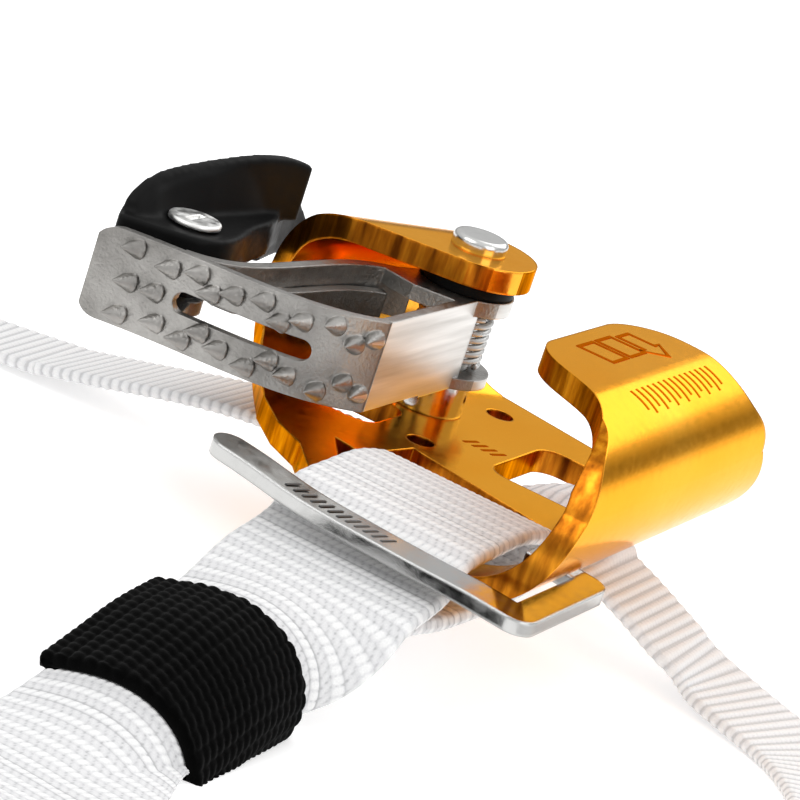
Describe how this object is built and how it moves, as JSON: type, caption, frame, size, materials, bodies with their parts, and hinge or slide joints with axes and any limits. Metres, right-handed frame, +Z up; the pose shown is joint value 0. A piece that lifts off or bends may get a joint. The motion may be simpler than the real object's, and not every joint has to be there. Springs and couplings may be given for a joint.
{
  "type": "foot ascender",
  "caption": "Foot ascender: bent-sheet frame with a toothed sprung cam over a rope channel, a hand catch, and ankle and foot straps.",
  "frame": {"origin": "on the ground, below the middle of the whole object's box", "axes": "+Z up along the cam's rivet, +Y along the rope away from the straps, +X from the ear to the rope channel"},
  "size_m": [0.164, 0.1548, 0.0389],
  "materials": {
    "anodised_frame": "glossy anodised",
    "cast_steel": "blasted satin",
    "polished_steel": "polished",
    "spring_steel": "bright",
    "black_plastic": "matte",
    "white_webbing": "woven",
    "black_webbing": "woven"
  },
  "bodies": {
    "frame_body": {"frame": "anodised_frame", "cam_rivet": "polished_steel", "cam_sleeve": "polished_steel", "lower_spacer": "polished_steel", "upper_washer": "black_plastic", "cam_spring": "spring_steel", "ankle_strap": "white_webbing", "strap_keeper": "black_webbing", "foot_tape": "white_webbing", "strap_stitching": "white_webbing"},
    "cam_body": {"cam": "cast_steel", "catch_rivet": "polished_steel", "catch_spring": "spring_steel"},
    "catch_body": {"catch": "black_plastic"},
    "bar_body": {"buckle_bar": "polished_steel"}
  },
  "joints": [
    {"name": "cam_pivot", "type": "hinge", "parent": "frame_body", "child": "cam_body", "pos_m": [-0.003, 0.06056, 0.0255], "axis": [0, 0, 1], "range_deg": [0, 76]},
    {"name": "catch_pivot", "type": "hinge", "parent": "cam_body", "child": "catch_body", "pos_m": [-0.027, 0.03326, 0.029], "axis": [0, 0, 1], "range_deg": [0, 16], "stiffness_Nm_per_rad": 0.02, "springref_deg": -11.46},
    {"name": "bar_lift", "type": "hinge", "parent": "frame_body", "child": "bar_body", "pos_m": [0.034, 0.01556, 0.016], "axis": [0, 1, 0], "range_deg": [0, 9]}
  ]
}
